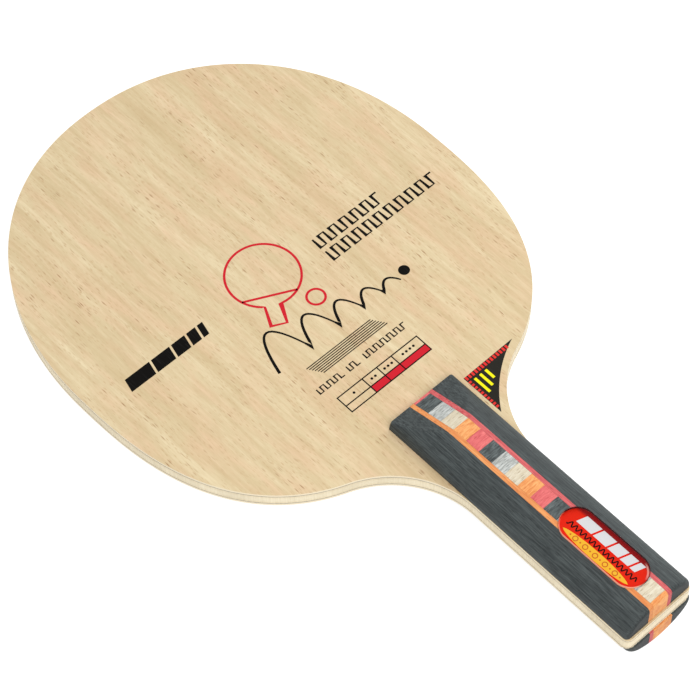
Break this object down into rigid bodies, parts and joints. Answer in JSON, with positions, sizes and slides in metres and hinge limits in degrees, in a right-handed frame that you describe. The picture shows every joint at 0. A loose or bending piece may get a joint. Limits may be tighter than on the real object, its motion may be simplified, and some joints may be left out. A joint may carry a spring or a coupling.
{
  "type": "table tennis paddle",
  "caption": "Bare table tennis blade with an oval plywood head, a straight handle of dyed wood blocks and a domed badge.",
  "frame": {"origin": "middle of the whole length, on the centre line and the blade's mid plane", "axes": "+X along the paddle from the head's tip to the butt, +Y across the head, +Z out of the front face with the badge"},
  "size_m": [0.2574, 0.1492, 0.0231],
  "materials": {
    "veneer": "pale straw face veneer, thin satin seal",
    "inner_wood": "raw pale wood, sanded edge",
    "fibre": "thin dark resin and fibre layer",
    "dark": "charcoal dyed wood, open grain, satin",
    "grey": "pale grey dyed wood, satin",
    "cream": "cream wood, satin",
    "orange": "orange dyed wood, satin",
    "red": "red dyed wood, satin",
    "label": "printed red film",
    "resin": "clear glossy domed resin over a red print"
  },
  "bodies": {
    "root": {"front_face_veneer": "veneer", "front_fibre_layer": "fibre", "front_inner_veneer": "inner_wood", "core_ply": "inner_wood", "back_inner_veneer": "inner_wood", "back_fibre_layer": "fibre", "back_face_veneer": "veneer", "front_side_block_by_orange": "dark", "front_orange_lamella": "orange", "front_inlay_01_red": "red", "front_inlay_02_dark": "dark", "front_inlay_03_grey": "grey", "front_inlay_04_cream": "cream", "front_inlay_05_orange": "orange", "front_inlay_06_red": "red", "front_inlay_07_dark": "dark", "front_inlay_08_grey": "grey", "front_inlay_09_cream": "cream", "front_inlay_10_orange": "orange", "front_inlay_11_red": "red", "front_inlay_12_dark": "dark", "front_inlay_13_grey": "grey", "front_inlay_14_cream": "cream", "front_inlay_15_orange": "orange", "front_inlay_16_red": "red", "front_inlay_17_dark": "dark", "front_inlay_18_grey": "grey", "front_inlay_19_cream": "cream", "front_inlay_20_orange": "orange", "front_red_lamella": "red", "front_side_block_by_red": "dark", "back_side_block_by_orange": "dark", "back_orange_lamella": "orange", "back_inlay_01_red": "red", "back_inlay_02_dark": "dark", "back_inlay_03_grey": "grey", "back_inlay_04_cream": "cream", "back_inlay_05_orange": "orange", "back_inlay_06_red": "red", "back_inlay_07_dark": "dark", "back_inlay_08_grey": "grey", "back_inlay_09_cream": "cream", "back_inlay_10_orange": "orange", "back_inlay_11_red": "red", "back_inlay_12_dark": "dark", "back_inlay_13_grey": "grey", "back_inlay_14_cream": "cream", "back_inlay_15_orange": "orange", "back_inlay_16_red": "red", "back_inlay_17_dark": "dark", "back_inlay_18_grey": "grey", "back_inlay_19_cream": "cream", "back_inlay_20_orange": "orange", "back_red_lamella": "red", "back_side_block_by_red": "dark", "badge_label": "label", "badge_dome": "resin"}
  },
  "joints": []
}
